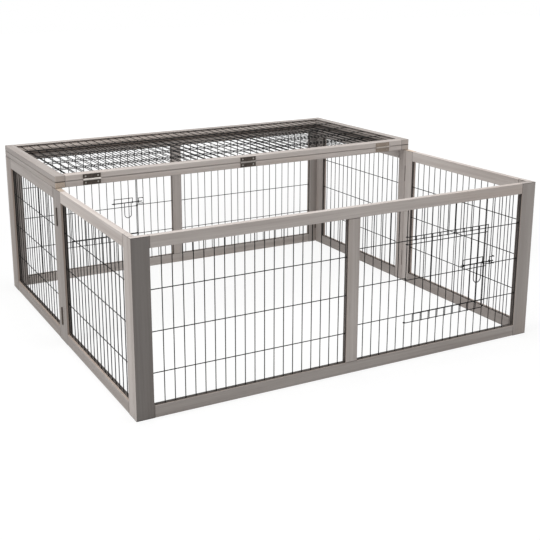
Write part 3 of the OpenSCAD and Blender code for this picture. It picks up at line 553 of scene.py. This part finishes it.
def screws_in(node):
    """Each screw of a group in the drawing, as the corners of its solid."""
    drawn = bmesh.new()
    drawn.from_mesh(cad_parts[node].data)
    bmesh.ops.remove_doubles(drawn, verts=drawn.verts, dist=CLOSE_BY)
    left = set(drawn.verts)
    screws = []
    while left:
        reached = [min(left, key=lambda corner: corner.index)]
        left.discard(reached[0])
        for corner in reached:
            for edge in corner.link_edges:
                other = edge.other_vert(corner)
                if other in left:
                    left.discard(other)
                    reached.append(other)
        screws.append([corner.co.copy() for corner in reached])
    drawn.free()
    return sorted(screws, key=lambda corners: (round(corners[0].x, 3), round(corners[0].z, 3)))


CROSS_ARM = 0.0016
CROSS_WIDE = 0.00045
CROSS_DEEP = 0.0011
HEAD_EDGE = 0.00015
HEAD_RINGS, HEAD_SIDES = 16, 48
HEAD_DEEP, SHANK_DEEP, POINT_LONG = 0.0020, 0.0021, 0.002
NECK_SHARE, SHANK_SHARE = 0.56, 0.5
FIRST_TURN, NEXT_TURN = 0.4, 2.4


def cross_depth(x, y):
    """How deep the recess lies under a spot of the head, with sloped ends and walls."""
    deepest = 0.0
    for run, off in ((abs(x), abs(y)), (abs(y), abs(x))):
        end = min(1.0, max(0.0, (CROSS_ARM - run) / (0.5 * CROSS_ARM)))
        wall = min(1.0, max(0.0, (1.35 * CROSS_WIDE - off) / (0.4 * CROSS_WIDE)))
        deepest = max(deepest, end * wall)
    return CROSS_DEEP * deepest


def cross_head_screws(node, body, finish):
    """One piece for the screws of a node, each turned and placed as the drawing has it."""
    made = bmesh.new()
    for count, corners in enumerate(screws_in(node)):
        low = Vector([min(corner[i] for corner in corners) for i in range(3)])
        high = Vector([max(corner[i] for corner in corners) for i in range(3)])
        middle = (low + high) / 2
        drive = max(range(3), key=lambda i: high[i] - low[i])
        length = high[drive] - low[drive]
        aside = [i for i in range(3) if i != drive]
        reach = [math.hypot(*(corner[i] - middle[i] for i in aside)) for corner in corners]
        radius = max(reach)
        rim = [corner[drive] for corner, far in zip(corners, reach) if far > 0.95 * radius]
        out = 1.0 if sum(rim) / len(rim) > middle[drive] else -1.0
        outward = Vector([out if i == drive else 0.0 for i in range(3)])
        sideways = Vector([1.0 if i == aside[0] else 0.0 for i in range(3)])
        upright = outward.cross(sideways)
        head = middle + outward * (length / 2)
        turn = FIRST_TURN + NEXT_TURN * count
        rings = [(radius * i / HEAD_RINGS, None) for i in range(1, HEAD_RINGS + 1)]
        rings += [(NECK_SHARE * radius, HEAD_DEEP), (SHANK_SHARE * radius, SHANK_DEEP)]
        rings += [(SHANK_SHARE * radius, length - POINT_LONG)]
        tip = made.verts.new(head - outward * length)
        centre = made.verts.new(head - outward * cross_depth(0.0, 0.0))
        loops = []
        for far, sunk in rings:
            loop = []
            for side in range(HEAD_SIDES):
                angle = 2 * math.pi * side / HEAD_SIDES
                x, y = far * math.cos(angle), far * math.sin(angle)
                if sunk is None:
                    x_turned = x * math.cos(turn) + y * math.sin(turn)
                    y_turned = y * math.cos(turn) - x * math.sin(turn)
                    below = cross_depth(x_turned, y_turned) + HEAD_EDGE * (far / radius) ** 6
                else:
                    below = sunk
                loop.append(made.verts.new(head + sideways * x + upright * y - outward * below))
            loops.append(loop)
        for side in range(HEAD_SIDES):
            after = (side + 1) % HEAD_SIDES
            made.faces.new((centre, loops[0][side], loops[0][after]))
            for inner, wider in zip(loops, loops[1:]):
                made.faces.new((inner[side], wider[side], wider[after], inner[after]))
            made.faces.new((tip, loops[-1][after], loops[-1][side]))
    bmesh.ops.recalc_face_normals(made, faces=made.faces)
    for surface in made.faces:
        surface.smooth = True
    shape = bpy.data.meshes.new("cross_head_" + node)
    made.to_mesh(shape)
    made.free()
    shape.materials.append(finish)
    piece = bpy.data.objects.new("cross_head_" + node, shape)
    bpy.context.scene.collection.objects.link(piece)
    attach(piece, body)
    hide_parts(node)


zinc = bright_zinc()
cross_head_screws("back_screws", "back_panel", zinc)
cross_head_screws("cover_rear_screws", "rear_cover", zinc)
cross_head_screws("cover_front_screws", "front_cover", zinc)

# Doors and bolts
# Welded wire doors, coated with the panels. Their wire ends are curled round an upright of the
# mesh. A round rod with a U handle slides in two eyes as a bolt.

for node in ("front_door", "back_door", "front_bolt", "back_bolt"):
    wired(node)
